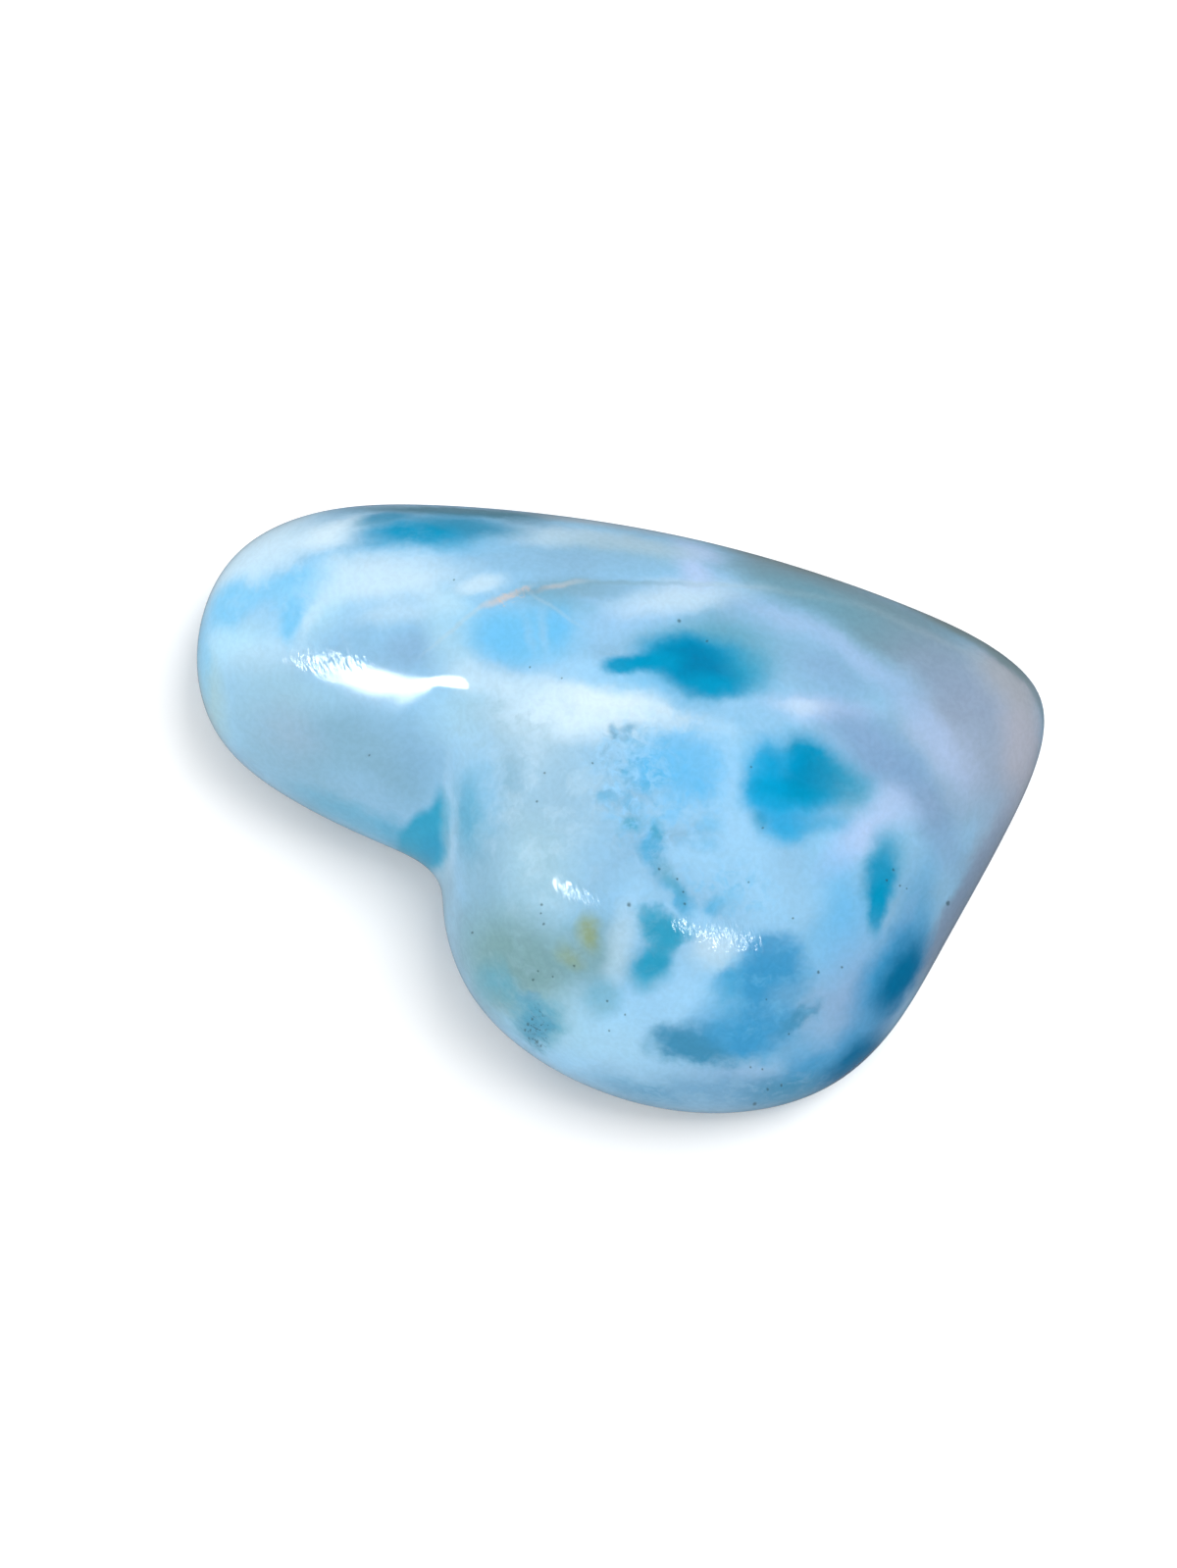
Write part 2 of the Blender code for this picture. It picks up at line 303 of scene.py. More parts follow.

# Marks in the stone, laid over the photograph and in its pixels: colour, strength, middle, half length
# and half width, turn in degrees, softness and kind of edge
ZONES = (
    ("milk", 0.90, (258, 562), (74, 26), 38, 0.60, "soft"),
    ("milk", 0.90, (325, 545), (52, 18), 14, 0.60, "soft"),
    ("white", 0.55, (342, 545), (28, 15), 20, 0.80, "soft"),
    ("cyan_milk", 0.70, (330, 612), (44, 22), 55, 0.80, "soft"),
    ("cyan_milk", 0.70, (240, 655), (40, 24), 0, 0.80, "soft"),
    ("milk", 0.45, (275, 672), (40, 18), 0, 0.80, "soft"),
    ("flank", 0.92, (350, 772), (96, 52), -20, 0.50, "soft"),
    ("cyan_milk", 0.35, (304, 706), (44, 18), -10, 0.80, "soft"),
    ("haze", 0.60, (268, 722), (50, 42), -40, 0.60, "soft"),
    ("lavender_grey", 0.35, (294, 752), (34, 26), -30, 0.80, "soft"),
    ("flank", 0.50, (300, 790), (70, 22), -34, 0.70, "soft"),
    ("grey_blue", 0.60, (378, 812), (44, 16), -26, 0.80, "soft"),
    ("grey_blue", 0.60, (425, 765), (34, 24), -26, 0.80, "soft"),
    ("cyan_milk", 0.50, (470, 722), (40, 26), 30, 0.80, "soft"),
    ("sea", 0.45, (356, 834), (56, 10), -24, 0.80, "soft"),
    ("sea", 0.50, (402, 848), (22, 10), -28, 0.80, "soft"),
    ("green_haze", 0.80, (214, 712), (16, 44), 10, 0.70, "soft"),
    ("beige", 0.70, (556, 820), (60, 80), 10, 0.70, "soft"),
    ("warm_milk", 0.60, (535, 750), (60, 34), 10, 0.80, "soft"),
    ("haze", 0.50, (510, 726), (50, 24), 0, 0.80, "soft"),
    ("flank", 0.80, (510, 808), (22, 40), 0, 0.80, "soft"),
    ("flank", 0.80, (492, 905), (24, 90), 8, 0.70, "soft"),
    ("green_haze", 0.50, (546, 900), (34, 60), 4, 0.80, "soft"),
    ("moss", 1.00, (528, 990), (78, 46), -36, 0.60, "soft"),
    ("moss", 0.80, (600, 972), (34, 30), 0, 0.80, "soft"),
    ("haze", 0.60, (452, 905), (12, 50), 8, 0.80, "soft"),
    ("cyan_milk", 0.40, (610, 1052), (74, 26), -20, 0.80, "soft"),
    ("ice", 0.45, (640, 1030), (60, 30), 0, 0.80, "soft"),
    ("grey_blue", 0.90, (735, 1108), (120, 22), -2, 0.70, "soft"),
    ("slate_blue", 0.45, (650, 1112), (46, 8), -14, 0.80, "soft"),
    ("lavender", 0.45, (760, 1104), (60, 16), 4, 0.80, "soft"),
    ("slate_blue", 0.90, (818, 1104), (52, 14), 18, 0.80, "soft"),
    ("slate_blue", 0.50, (745, 1112), (90, 12), 0, 0.80, "soft"),
    ("dusk", 0.80, (880, 1030), (60, 50), 50, 0.80, "soft"),
    ("slate", 1.00, (820, 592), (76, 34), -16, 0.45, "soft"),
    ("slate", 1.00, (912, 640), (96, 40), -28, 0.50, "soft"),
    ("slate_teal", 0.35, (830, 615), (70, 22), -22, 0.80, "soft"),
    ("lavender_grey", 1.00, (1000, 750), (90, 66), -50, 0.60, "soft"),
    ("mauve_grey", 0.50, (960, 690), (60, 36), -40, 0.80, "soft"),
    ("rose_grey", 0.90, (1044, 760), (26, 80), 4, 0.70, "soft"),
    ("grey_blue", 0.60, (550, 572), (80, 22), -3, 0.70, "soft"),
    ("milk", 0.75, (576, 546), (50, 13), 2, 0.80, "soft"),
    ("haze", 0.60, (640, 560), (60, 14), -8, 0.80, "soft"),
    ("grey_blue", 0.50, (620, 572), (60, 16), -6, 0.70, "soft"),
    ("warm_grey", 0.40, (650, 538), (50, 10), -10, 0.80, "soft"),
    ("lavender_white", 0.70, (712, 560), (26, 12), -30, 0.80, "soft"),
    ("lavender_white", 0.80, (706, 580), (14, 26), 20, 0.90, "soft"),
    ("lavender_white", 0.60, (672, 616), (60, 18), 28, 0.90, "soft"),
    ("milk", 0.50, (690, 606), (60, 14), 6, 0.90, "soft"),
    ("sky", 0.55, (420, 560), (66, 10), 2, 0.80, "soft"),
    ("teal", 1.00, (430, 543), (56, 18), 0, 0.70, "soft"),
    ("dark_teal", 0.80, (392, 529), (26, 9), 10, 0.60, "soft"),
    ("dark_teal", 0.80, (484, 538), (44, 11), -4, 0.80, "soft"),
    ("dark_grey", 0.95, (470, 521), (100, 9), -1, 0.60, "soft"),
    ("dark_grey", 0.50, (520, 527), (30, 8), -8, 0.70, "soft"),
    ("dark_teal", 0.60, (462, 529), (40, 9), 0, 0.70, "soft"),
    ("warm_milk", 0.70, (656, 556), (50, 12), -6, 0.80, "soft"),
    ("warm_grey", 0.55, (588, 530), (40, 7), -8, 0.80, "soft"),
    ("dove", 0.90, (1028, 690), (40, 28), -50, 0.80, "soft"),
    ("rose_grey", 0.70, (1020, 856), (44, 14), 62, 0.80, "soft"),
    ("cyan_milk", 0.60, (204, 620), (10, 30), 20, 0.80, "soft"),
    ("milk", 0.50, (268, 582), (40, 12), 30, 0.80, "soft"),
    ("sky", 0.90, (232, 616), (24, 26), 20, 0.60, "soft"),
    ("sky", 0.70, (268, 600), (30, 14), 10, 0.70, "soft"),
    ("sky", 0.95, (308, 596), (32, 18), 30, 0.55, "soft"),
    ("sky", 0.95, (298, 628), (12, 26), -8, 0.55, "soft"),
    ("bright_sky", 0.40, (304, 604), (12, 22), 0, 0.80, "soft"),
    ("sky", 0.60, (206, 668), (8, 40), 4, 0.80, "soft"),
    ("milk", 0.95, (392, 592), (74, 18), 4, 0.80, "soft"),
    ("milk", 0.50, (316, 628), (8, 26), -30, 0.80, "soft"),
    ("milk", 0.50, (440, 606), (34, 10), -30, 0.80, "soft"),
    ("grey_blue", 0.32, (382, 656), (60, 32), -10, 0.50, "soft"),
    ("dusk", 0.35, (420, 664), (24, 16), 0, 0.80, "soft"),
    ("milk", 0.55, (408, 624), (44, 12), 4, 0.80, "soft"),
    ("white", 0.40, (380, 572), (56, 12), 4, 0.80, "soft"),
    ("milk", 0.50, (482, 682), (18, 20), 0, 0.80, "soft"),
    ("cyan_milk", 0.55, (462, 640), (26, 40), 10, 0.60, "soft"),
)
# More marks in the stone; the last five are painted shade, a dark grey band along the upper right rim.
CELLS_AND_RIM_SHADE = (
    ("grey_blue", 0.90, (592, 604), (70, 14), 2, 0.70, "soft"),
    ("flank", 0.85, (582, 600), (38, 10), 0, 0.80, "soft"),
    ("sky", 0.95, (532, 646), (56, 30), -6, 0.45, "soft"),
    ("bright_sky", 0.45, (512, 650), (24, 22), 0, 0.80, "soft"),
    ("bright_sky", 0.55, (568, 640), (12, 20), 0, 0.70, "soft"),
    ("slate_teal", 0.35, (560, 612), (34, 10), -16, 0.80, "soft"),
    ("pale", 0.60, (552, 646), (5, 24), 6, 0.90, "soft"),
    ("pale", 0.45, (538, 648), (4, 22), 14, 0.90, "soft"),
    ("milk", 0.90, (490, 597), (24, 10), 16, 0.60, "soft"),
    ("pale", 0.60, (640, 640), (60, 16), 18, 0.80, "soft"),
    ("milk", 0.70, (690, 614), (56, 13), 10, 0.80, "soft"),
    ("milk", 1.00, (596, 722), (84, 32), -4, 0.60, "soft"),
    ("milk", 0.80, (530, 700), (60, 14), -14, 0.80, "soft"),
    ("white", 0.75, (618, 712), (46, 14), -4, 0.80, "soft"),
    ("white", 0.60, (706, 738), (56, 14), -24, 0.90, "soft"),
    ("white", 0.50, (600, 730), (60, 20), 0, 0.90, "soft"),
    ("sky", 0.70, (645, 694), (44, 12), -2, 0.80, "soft"),
    ("ice", 0.75, (600, 684), (36, 12), -6, 0.80, "soft"),
    ("sky", 0.50, (700, 714), (40, 10), -24, 0.80, "soft"),
    ("slate_teal", 0.65, (754, 656), (50, 26), -10, 0.70, "soft"),
    ("teal", 0.55, (734, 660), (24, 12), -10, 0.80, "soft"),
    ("slate_teal", 0.50, (700, 650), (50, 14), 4, 0.80, "soft"),
    ("teal", 0.85, (690, 668), (36, 18), -6, 0.60, "soft"),
    ("teal", 1.00, (714, 680), (56, 30), -17, 0.40, "soft"),
    ("deep_teal", 0.90, (714, 680), (38, 22), -20, 0.60, "soft"),
    ("teal", 0.90, (724, 700), (30, 12), -10, 0.70, "soft"),
    ("teal", 0.95, (634, 681), (19, 10), 0, 0.50, "soft"),
    ("teal", 1.00, (662, 677), (30, 10), 4, 0.60, "soft"),
    ("sea", 0.70, (764, 684), (24, 20), -30, 0.80, "soft"),
    ("lavender_white", 0.90, (836, 722), (46, 12), -2, 0.80, "soft"),
    ("white", 0.45, (824, 720), (26, 7), -2, 0.80, "soft"),
    ("pale", 0.60, (775, 728), (40, 12), 0, 0.90, "soft"),
    ("aqua", 0.90, (775, 786), (34, 20), 76, 0.60, "soft"),
    ("sky", 0.60, (754, 768), (12, 24), 0, 0.80, "soft"),
    ("mid_blue", 0.90, (824, 842), (44, 16), 0, 0.90, "soft"),
    ("bright_blue", 0.80, (792, 838), (26, 18), 0, 0.90, "soft"),
    ("aqua", 0.45, (796, 850), (22, 12), 0, 0.80, "soft"),
    ("ice", 0.80, (850, 860), (22, 12), 0, 0.80, "soft"),
    ("teal", 1.00, (824, 778), (38, 28), -36, 0.50, "soft"),
    ("aqua", 0.90, (800, 812), (48, 20), 4, 0.50, "soft"),
    ("teal", 1.00, (812, 806), (42, 17), -6, 0.60, "soft"),
    ("aqua", 0.60, (788, 790), (16, 26), 0, 0.80, "soft"),
    ("sea", 0.85, (862, 796), (30, 22), -14, 0.80, "soft"),
    ("deep_teal", 0.45, (822, 786), (36, 18), -20, 0.80, "soft"),
    ("sky", 0.30, (793, 758), (18, 10), -66, 0.80, "soft"),
    ("aqua", 0.50, (800, 776), (16, 12), 0, 0.80, "soft"),
    ("pale", 0.60, (782, 740), (22, 12), -30, 0.80, "soft"),
    ("teal", 0.75, (772, 838), (8, 9), 0, 0.70, "crisp"),
    ("ice", 0.90, (738, 790), (14, 54), 4, 0.80, "soft"),
    ("ice", 0.80, (754, 852), (18, 34), 24, 0.80, "soft"),
    ("ice", 0.70, (776, 890), (22, 36), 12, 0.80, "soft"),
    ("grey_blue", 0.80, (852, 676), (66, 26), -24, 0.80, "soft"),
    ("dusk", 0.50, (846, 684), (40, 20), -24, 0.80, "soft"),
    ("lavender", 0.40, (800, 630), (54, 16), -20, 0.90, "soft"),
    ("lavender_white", 0.25, (812, 634), (44, 9), -20, 0.90, "soft"),
    ("lavender", 0.45, (868, 664), (46, 10), -32, 0.90, "soft"),
    ("lavender_white", 0.25, (880, 674), (34, 9), -38, 0.90, "soft"),
    ("lavender", 0.45, (922, 714), (50, 12), -46, 0.90, "soft"),
    ("lavender_white", 0.50, (960, 762), (44, 18), -48, 0.90, "soft"),
    ("dusk", 0.95, (890, 762), (60, 26), -42, 0.70, "soft"),
    ("dusk", 0.85, (934, 806), (44, 20), -56, 0.70, "soft"),
    ("dusk", 0.60, (962, 858), (34, 20), -60, 0.80, "soft"),
    ("mauve_grey", 0.30, (958, 822), (24, 20), 0, 0.80, "soft"),
    ("lavender_white", 0.60, (912, 822), (24, 18), -40, 0.70, "soft"),
    ("lavender_white", 0.85, (874, 854), (44, 16), 46, 0.70, "soft"),
    ("bright_sky", 0.45, (854, 905), (22, 46), 0, 0.90, "soft"),
    ("bright_sky", 0.60, (868, 945), (24, 34), 0, 0.90, "soft"),
    ("sky", 0.60, (838, 975), (26, 26), 0, 0.90, "soft"),
    ("bright_sky", 0.35, (850, 968), (20, 30), 0, 0.90, "soft"),
    ("ice", 0.55, (794, 912), (40, 24), 0, 0.80, "soft"),
    ("sea", 0.50, (904, 876), (28, 18), 80, 0.70, "soft"),
    ("teal", 0.90, (898, 896), (34, 16), 82, 0.60, "soft"),
    ("teal", 1.00, (895, 924), (28, 10), 88, 0.50, "soft"),
    ("blue", 0.45, (936, 918), (18, 40), -14, 0.80, "soft"),
    ("lavender", 0.35, (920, 950), (30, 6), 66, 0.80, "soft"),
    ("lavender_grey", 0.60, (1015, 850), (50, 18), 62, 0.70, "soft"),
    ("mauve_grey", 0.80, (998, 892), (60, 14), 62, 0.70, "soft"),
    ("mauve_grey", 0.90, (962, 955), (60, 14), 58, 0.60, "soft"),
    ("lavender", 0.35, (866, 986), (44, 34), 40, 0.90, "soft"),
    ("blue", 1.00, (908, 988), (58, 20), 58, 0.70, "soft"),
    ("deep_blue", 1.00, (918, 996), (44, 15), 60, 0.70, "soft"),
    ("blue", 0.80, (864, 1066), (34, 16), 44, 0.80, "soft"),
    ("deep_blue", 1.00, (872, 1084), (42, 17), 40, 0.60, "soft"),
    ("blue", 0.75, (824, 1084), (26, 12), 20, 0.80, "soft"),
    ("lavender", 0.15, (846, 1036), (36, 18), 40, 0.90, "soft"),
    # Painted shade: a dark grey band along the upper right rim, where the dome turns away from the light.
    ("rim_shade_grey", 0.80, (800, 574), (70, 11), -16, 0.70, "soft"),
    ("rim_shade_grey", 1.00, (900, 606), (70, 13), -21, 0.70, "soft"),
    ("rim_shade_grey", 1.00, (974, 640), (50, 14), -28, 0.70, "soft"),
    ("rim_shade_grey", 0.90, (1022, 670), (38, 11), -37, 0.70, "soft"),
    ("rim_shade_grey", 0.60, (1054, 706), (30, 6), -58, 0.80, "soft"),
)
# Veins and a fracture in the stone; the first row is a painted highlight instead, a faint white line up the
# groove's wall above the cleft where its edge catches the light.
VEINS_AND_GROOVE_GLINT = (
    ("white", 0.22, (459, 834), (40, 8), 88, 0.90, "crisp"),
    ("warm_milk", 0.45, (470, 634), (40, 2.4), 40, 0.70, "crisp"),
    ("tan", 0.60, (514, 608), (22, 3.4), 25, 0.80, "crisp"),
    ("tan", 0.40, (568, 597), (22, 2.8), 14, 0.80, "crisp"),
    ("warm_milk", 0.50, (584, 594), (20, 2), 6, 0.80, "crisp"),
    ("dark_grey", 0.30, (540, 602), (14, 3), 10, 0.90, "crisp"),
    ("slate", 0.40, (640, 594), (70, 2.6), 2, 0.90, "crisp"),
    ("warm_milk", 0.35, (720, 594), (50, 2.6), -2, 0.90, "crisp"),
    ("warm_milk", 0.30, (562, 618), (32, 1.8), -35, 0.80, "crisp"),
    ("warm_grey", 0.14, (806, 604), (78, 4), -9, 0.90, "crisp"),
    ("warm_grey", 0.14, (948, 647), (92, 4.5), -25, 0.90, "crisp"),
)

# Frayed wisps: colour, strength, middle, half length and half width in pixels, turn, softness of the edge,
# size of the wisps in millimetres and the span of noise over which they come up
FRAYS = (
    ("bright_sky", 0.60, (690, 790), (44, 60), 6, 0.70, 0.80, (0.44, 0.68)),
    ("bright_sky", 0.50, (655, 810), (34, 54), 0, 0.60, 0.45, (0.48, 0.70)),
    ("ice", 0.55, (645, 790), (34, 56), 0, 0.60, 0.45, (0.46, 0.70)),
    ("sky", 0.55, (742, 906), (44, 26), 0, 0.60, 0.40, (0.48, 0.64)),
    ("ice", 0.55, (700, 866), (44, 28), 0, 0.70, 0.60, (0.42, 0.68)),
    ("milk", 0.40, (560, 820), (70, 100), 0, 0.60, 1.30, (0.44, 0.72)),
    ("haze", 0.40, (520, 740), (60, 40), 0, 0.60, 0.80, (0.46, 0.66)),
    ("dark", 0.75, (546, 1048), (14, 20), 0, 0.60, 0.16, (0.56, 0.64)),
    ("tan", 0.85, (518, 607), (20, 5), 24, 0.60, 0.18, (0.50, 0.60)),
    ("mid_blue", 0.50, (652, 790), (34, 54), 0, 0.60, 0.50, (0.46, 0.68)),
    ("slate_blue", 0.25, (644, 768), (28, 36), 0, 0.60, 0.40, (0.50, 0.66)),
    ("ice", 0.45, (640, 782), (40, 44), 0, 0.60, 0.45, (0.44, 0.64)),
    ("lavender_white", 0.20, (960, 760), (110, 90), 0, 0.60, 2.00, (0.44, 0.74)),
    ("grey_blue", 0.35, (330, 740), (110, 70), 0, 0.60, 1.80, (0.44, 0.72)),
    ("milk", 0.30, (330, 590), (110, 60), 0, 0.60, 1.20, (0.46, 0.70)),
    ("haze", 0.30, (560, 960), (110, 90), 0, 0.60, 0.70, (0.44, 0.72)),
    ("sky", 0.40, (784, 1006), (54, 60), 0, 0.60, 0.70, (0.46, 0.76)),
    ("grey_blue", 0.35, (730, 1105), (120, 24), 0, 0.60, 0.60, (0.46, 0.66)),
)
LOWER_CELLS = (
    ("blue", 0.90, (790, 968), (30, 20), -6, 0.50, "feathery"),
    ("blue", 1.00, (784, 998), (42, 26), 0, 0.45, "feathery"),
    ("blue", 0.90, (782, 1030), (34, 30), 0, 0.50, "feathery"),
    ("blue", 0.95, (738, 1001), (16, 16), 0, 0.45, "feathery"),
    ("slate_blue", 1.00, (708, 1062), (42, 19), -4, 0.45, "feathery"),
    ("slate_blue", 0.60, (735, 1078), (30, 11), 0, 0.60, "feathery"),
    ("blue", 1.00, (758, 1056), (30, 20), -10, 0.50, "feathery"),
    ("slate_blue", 0.75, (815, 1039), (25, 8), 34, 0.70, "feathery"),
    ("grey_blue", 0.35, (806, 1012), (20, 14), 30, 0.80, "soft"),
    ("ice", 0.60, (706, 1010), (24, 26), 0, 0.80, "soft"),
    ("mid_blue", 0.60, (738, 1006), (20, 34), 0, 0.80, "soft"),
    ("blue", 0.50, (730, 1038), (24, 16), 0, 0.80, "soft"),
    ("blue", 0.45, (800, 1066), (30, 14), 10, 0.80, "soft"),
    ("ice", 0.60, (690, 1005), (34, 26), 0, 0.80, "soft"),
    ("milk", 0.80, (728, 966), (22, 16), 0, 0.80, "soft"),
    ("teal", 1.00, (667, 980), (16, 12), 30, 0.60, "crisp"),
    ("sea", 0.85, (664, 984), (20, 16), 40, 0.80, "soft"),
    ("sea", 0.80, (677, 962), (18, 10), 60, 0.70, "soft"),
    ("sea", 0.95, (676, 946), (26, 14), -6, 0.55, "feathery"),
    ("ice", 0.55, (716, 936), (22, 8), -20, 0.80, "soft"),
    ("sea", 0.60, (672, 950), (16, 10), 0, 0.70, "feathery"),
    ("sea", 0.85, (661, 930), (13, 9), 0, 0.55, "feathery"),
    ("mid_blue", 0.90, (691, 912), (9, 20), 34, 0.70, "feathery"),
    ("slate_blue", 0.20, (696, 914), (8, 10), 34, 0.80, "feathery"),
    ("mid_blue", 0.80, (728, 923), (12, 9), 0, 0.70, "feathery"),
    ("sky", 0.50, (742, 912), (14, 12), 40, 0.80, "feathery"),
    ("ice", 0.70, (716, 878), (44, 20), 0, 0.80, "soft"),
    ("milk", 0.50, (634, 958), (12, 40), -16, 0.80, "soft"),
    ("ice", 0.50, (650, 905), (20, 20), 0, 0.80, "soft"),
    ("ice", 0.55, (652, 768), (26, 20), 0, 0.80, "soft"),
    ("bright_sky", 0.70, (704, 776), (32, 38), 10, 0.80, "feathery"),
    ("bright_sky", 0.40, (704, 800), (20, 16), 0, 0.80, "feathery"),
    ("bright_sky", 0.70, (668, 784), (22, 20), 0, 0.70, "feathery"),
    ("mid_blue", 0.45, (669, 785), (9, 6), 30, 0.80, "feathery"),
    ("mid_blue", 0.40, (660, 799), (13, 5), 8, 0.80, "feathery"),
    ("sky", 0.60, (724, 838), (11, 9), 0, 0.80, "soft"),
    ("sky", 0.50, (722, 860), (12, 7), 0, 0.80, "soft"),
    ("sea", 0.75, (643, 838), (12, 9), 10, 0.80, "feathery"),
    ("mid_blue", 0.50, (622, 812), (10, 6), 30, 0.80, "feathery"),
    ("sea", 0.80, (671, 846), (8, 13), 0, 0.80, "feathery"),
    ("mid_blue", 0.95, (666, 868), (9, 16), 10, 0.80, "feathery"),
    ("slate_blue", 0.35, (672, 880), (6, 14), 20, 0.80, "feathery"),
    ("slate_teal", 0.50, (684, 896), (8, 18), 30, 0.80, "soft"),
    ("ice", 0.60, (694, 826), (30, 14), 0, 0.80, "soft"),
    ("slate_blue", 0.60, (628, 744), (4, 9), 10, 0.80, "crisp"),
    ("slate_blue", 0.55, (642, 741), (9, 4), 20, 0.80, "crisp"),
    ("slate_blue", 0.40, (636, 752), (8, 4), 0, 0.80, "crisp"),
    ("olive", 0.90, (600, 951), (11, 15), 10, 0.80, "soft"),
    ("olive", 0.55, (578, 974), (14, 9), -40, 0.80, "soft"),
    ("moss", 0.80, (512, 1004), (26, 22), 0, 0.80, "soft"),
    ("slate_teal", 0.60, (499, 1000), (16, 18), -30, 0.80, "soft"),
    ("slate_teal", 0.55, (615, 1015), (20, 17), 0, 0.60, "soft"),
    ("slate_blue", 0.55, (538, 1018), (12, 10), 0, 0.60, "feathery"),
    ("slate_teal", 1.00, (548, 1042), (24, 20), 0, 0.60, "feathery"),
    ("slate_blue", 0.50, (546, 1046), (16, 14), 0, 0.80, "feathery"),
    ("slate_teal", 0.60, (520, 1010), (20, 12), -40, 0.80, "feathery"),
    ("sea", 0.55, (482, 826), (18, 40), 0, 0.80, "soft"),
    ("pale", 0.50, (500, 800), (14, 40), 10, 0.80, "soft"),
    ("sea", 1.00, (426, 850), (40, 14), 34, 0.40, "crisp"),
    ("sea", 1.00, (438, 866), (24, 18), 30, 0.35, "crisp"),
    ("sea", 1.00, (450, 842), (10, 34), 0, 0.45, "crisp"),
    ("deep_teal", 0.30, (440, 866), (18, 12), 30, 0.80, "soft"),
)


def closed_spline(knots, per_span):
    """Points along the closed cubic spline through the knots."""
    knot = np.array(knots)
    count = len(knot)
    following = np.roll(knot, -1, axis=0)
    span = np.linalg.norm(following - knot, axis=1) ** KNOT_SPACING_POWER
    slope = (following - knot) / span[:, None]
    system = np.zeros((count, count))
    for i in range(count):
        system[i, i - 1] = span[i - 1]
        system[i, i] = 2 * (span[i - 1] + span[i])
        system[i, (i + 1) % count] = span[i]
    bend = np.linalg.solve(system, 6 * (slope - np.roll(slope, 1, axis=0)))
    bend_after = np.roll(bend, -1, axis=0)
    t = (np.arange(per_span) / per_span)[None, :, None]
    h = span[:, None, None]
    start, end = knot[:, None], following[:, None]
    curve = (1 - t) * start + t * end
    curve += (h**2 / 6) * ((1 - t) ** 3 - (1 - t)) * bend[:, None]
    curve += (h**2 / 6) * (t**3 - t) * bend_after[:, None]
    return curve.reshape(-1, 2)


def outline_points(count):
    """The outline as points, closer together in the cleft."""
    curve = closed_spline(OUTLINE, POINTS_PER_SPAN)
    closed = np.vstack([curve, curve[:1]])
    step = np.linalg.norm(np.diff(closed, axis=0), axis=1)
    from_cleft = np.linalg.norm(curve - np.array(CLEFT), axis=1)
    crowding = 1 + CLEFT_CROWDING * np.exp(-((from_cleft / CLEFT_CROWDING_REACH) ** 2))
    travelled = np.concatenate([[0], np.cumsum(step * crowding)])
    wanted = np.linspace(0, travelled[-1], count, endpoint=False)
    return np.stack([np.interp(wanted, travelled, closed[:, axis]) for axis in (0, 1)], axis=1)


def outward_normals(rim):
    tangent = np.roll(rim, -1, axis=0) - np.roll(rim, 1, axis=0)
    normal = np.stack([tangent[:, 1], -tangent[:, 0]], axis=1)
    return normal / np.linalg.norm(normal, axis=1, keepdims=True)


def depth_inside(places, rim):
    """How deep each place lies inside the outline: a smooth mean of its distances to the rim all round."""
    to_start = rim[None] - places[:, None]
    to_end = np.roll(to_start, -1, axis=1)
    start_length = np.linalg.norm(to_start, axis=2)
    end_length = np.linalg.norm(to_end, axis=2)
    cross = to_start[..., 0] * to_end[..., 1] - to_start[..., 1] * to_end[..., 0]
    dot = (to_start * to_end).sum(axis=2)
    half_angle = cross / (start_length * end_length + dot)
    return 2 / (half_angle * (1 / start_length + 1 / end_length)).sum(axis=1)


def swelling(places, share, middle, radii, turn):
    """A smooth bump or hollow, as a share of the height."""
    angle = np.radians(turn)
    offset = places - np.array(middle)
    along = (np.cos(angle) * offset[:, 0] + np.sin(angle) * offset[:, 1]) / radii[0]
    across = (np.cos(angle) * offset[:, 1] - np.sin(angle) * offset[:, 0]) / radii[1]
    return share * np.exp(-(along**2) - across**2)


def ease(value):
    """Rises smoothly from 0 to 1 as the value goes from well under 0 to well over it."""
    return 0.5 + 0.5 * np.tanh(value)


def off_groove(places):
    """Distance to the right of the groove's floor, and how strong the groove is at that height."""
    y = places[..., 1]
    floor_x = GROOVE_X + GROOVE_LEAN * ease((y - GROOVE_LEAN_START) / GROOVE_LEAN_SPREAD)
    return places[..., 0] - floor_x, ease((GROOVE_FADE_Y - y) / GROOVE_FADE_SPREAD)


def groove(places):
    off, strength = off_groove(places)
    width = np.where(off > 0, GROOVE_WALL, GROOVE_SLOPE)
    return GROOVE_DEPTH * strength * np.exp(-((off / width) ** 2))


def shoulder(places, depth):
    band = np.exp(-(((depth - SHOULDER_DEPTH) / SHOULDER_SPREAD) ** 2))
    side = ease(places @ SHOULDER_FACING - SHOULDER_REACH)
    return SHOULDER * band * side * ease((places[:, 0] - SHOULDER_START_X) / 2)


def dome_height(places, rim):
    """Height over the girdle of the polished face."""
    depth = depth_inside(places, rim)
    shape = 1 + shoulder(places, depth)
    for lump in (ROUND_LOBE, LONG_LOBE, LONG_LOBE_FLANK, VALLEY):
        shape += swelling(places, *lump)
    return DOME_HEIGHT * np.sqrt(depth / FULL_DEPTH) * shape * (1 - groove(places))


def ring_shares(rim):
    """Share of the way out from the middle for each outline point and ring, closer at rim and groove."""
    turn = np.linspace(0, 0.5 * np.pi, RAY_STEPS)
    shares = np.cos(turn)
    places = DOME_MIDDLE + shares[None, :, None] * (rim - DOME_MIDDLE)[:, None]
    off, strength = off_groove(places)
    crowding = 1 + GROOVE_CROWDING * strength * np.exp(-((off / GROOVE_CROWDING_REACH) ** 2))
    travelled = np.cumsum(crowding, axis=1) - crowding[:, :1]
    wanted = np.arange(1, DOME_RINGS) / DOME_RINGS
    return np.array([np.interp(wanted, ray / ray[-1], shares) for ray in travelled])


